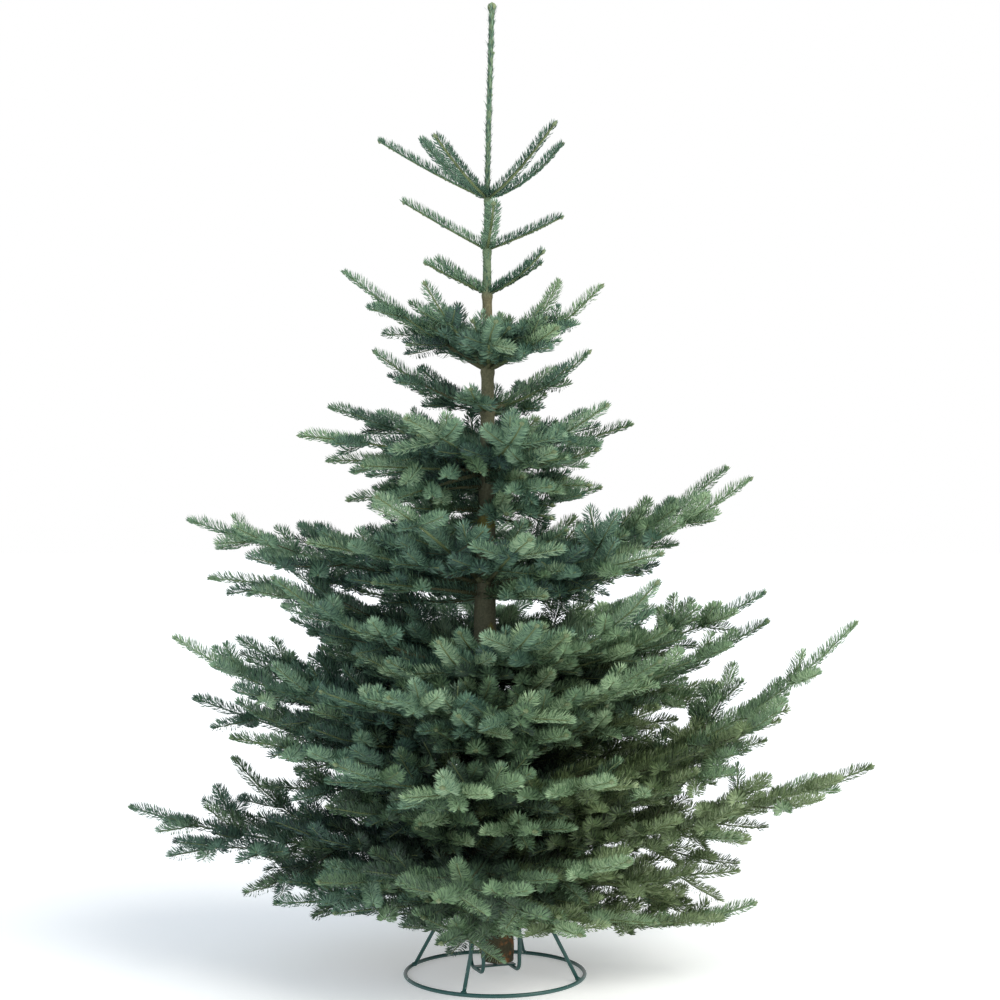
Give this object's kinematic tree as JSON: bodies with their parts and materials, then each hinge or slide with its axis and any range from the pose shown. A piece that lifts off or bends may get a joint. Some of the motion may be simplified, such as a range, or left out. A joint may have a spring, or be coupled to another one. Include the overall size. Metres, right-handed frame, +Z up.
{
  "type": "christmas tree in a wire stand",
  "caption": "Cut fir with open whorls of needled boughs and a long bare leader, standing in a welded wire tree stand.",
  "frame": {"origin": "on the floor, in the middle of the stand's base ring", "axes": "+Z up along the trunk, +X to the tree's right, +Y to its back"},
  "size_m": [1.515, 1.2138, 2],
  "materials": {
    "trunk_bark": "rough grey-green fir bark with ochre lichen patches",
    "bough_bark": "fine olive-brown twig bark",
    "needles": "satin blue-green needles",
    "coated_wire": "satin dark teal powder coat"
  },
  "bodies": {
    "root": {"base_ring": "coated_wire", "base_strip": "coated_wire", "bough_02_left": "bough_bark", "bough_02_right": "bough_bark", "bough_03_left": "bough_bark", "bough_03_right": "bough_bark", "bough_04_left": "bough_bark", "bough_04_right": "bough_bark", "bough_05_left": "bough_bark", "bough_05_right": "bough_bark", "bough_06_left": "bough_bark", "bough_06_right": "bough_bark", "cage_bar_left": "coated_wire", "cage_bar_right": "coated_wire", "foliage_01_back": "needles", "foliage_01_left": "needles", "foliage_01_right": "needles", "foliage_02_back": "needles", "foliage_02_front": "needles", "foliage_02_left": "needles", "foliage_02_right": "needles", "foliage_03_back": "needles", "foliage_03_front": "needles", "foliage_03_left": "needles", "foliage_03_right": "needles", "foliage_04_back": "needles", "foliage_04_front": "needles", "foliage_04_left": "needles", "foliage_04_right": "needles", "foliage_05_back": "needles", "foliage_05_left": "needles", "foliage_05_right": "needles", "foliage_06_back": "needles", "foliage_06_front": "needles", "foliage_06_left": "needles", "foliage_06_right": "needles", "foliage_07_left": "needles", "foliage_07_right": "needles", "foliage_08_back": "needles", "foliage_08_left": "needles", "foliage_08_right": "needles", "foliage_09_left": "needles", "foliage_09_right": "needles", "foliage_10_left": "needles", "foliage_10_right": "needles", "foliage_11_left": "needles", "foliage_11_right": "needles", "foliage_12_front": "needles", "foliage_12_left": "needles", "foliage_12_right": "needles", "foliage_13_back_left": "needles", "foliage_13_back_right": "needles", "foliage_13_front_left": "needles", "foliage_13_front_right": "needles", "foliage_13_left": "needles", "strut_back_left": "coated_wire", "strut_back_right": "coated_wire", "strut_front_left": "coated_wire", "strut_front_right": "coated_wire", "trunk": "trunk_bark"}
  },
  "joints": []
}
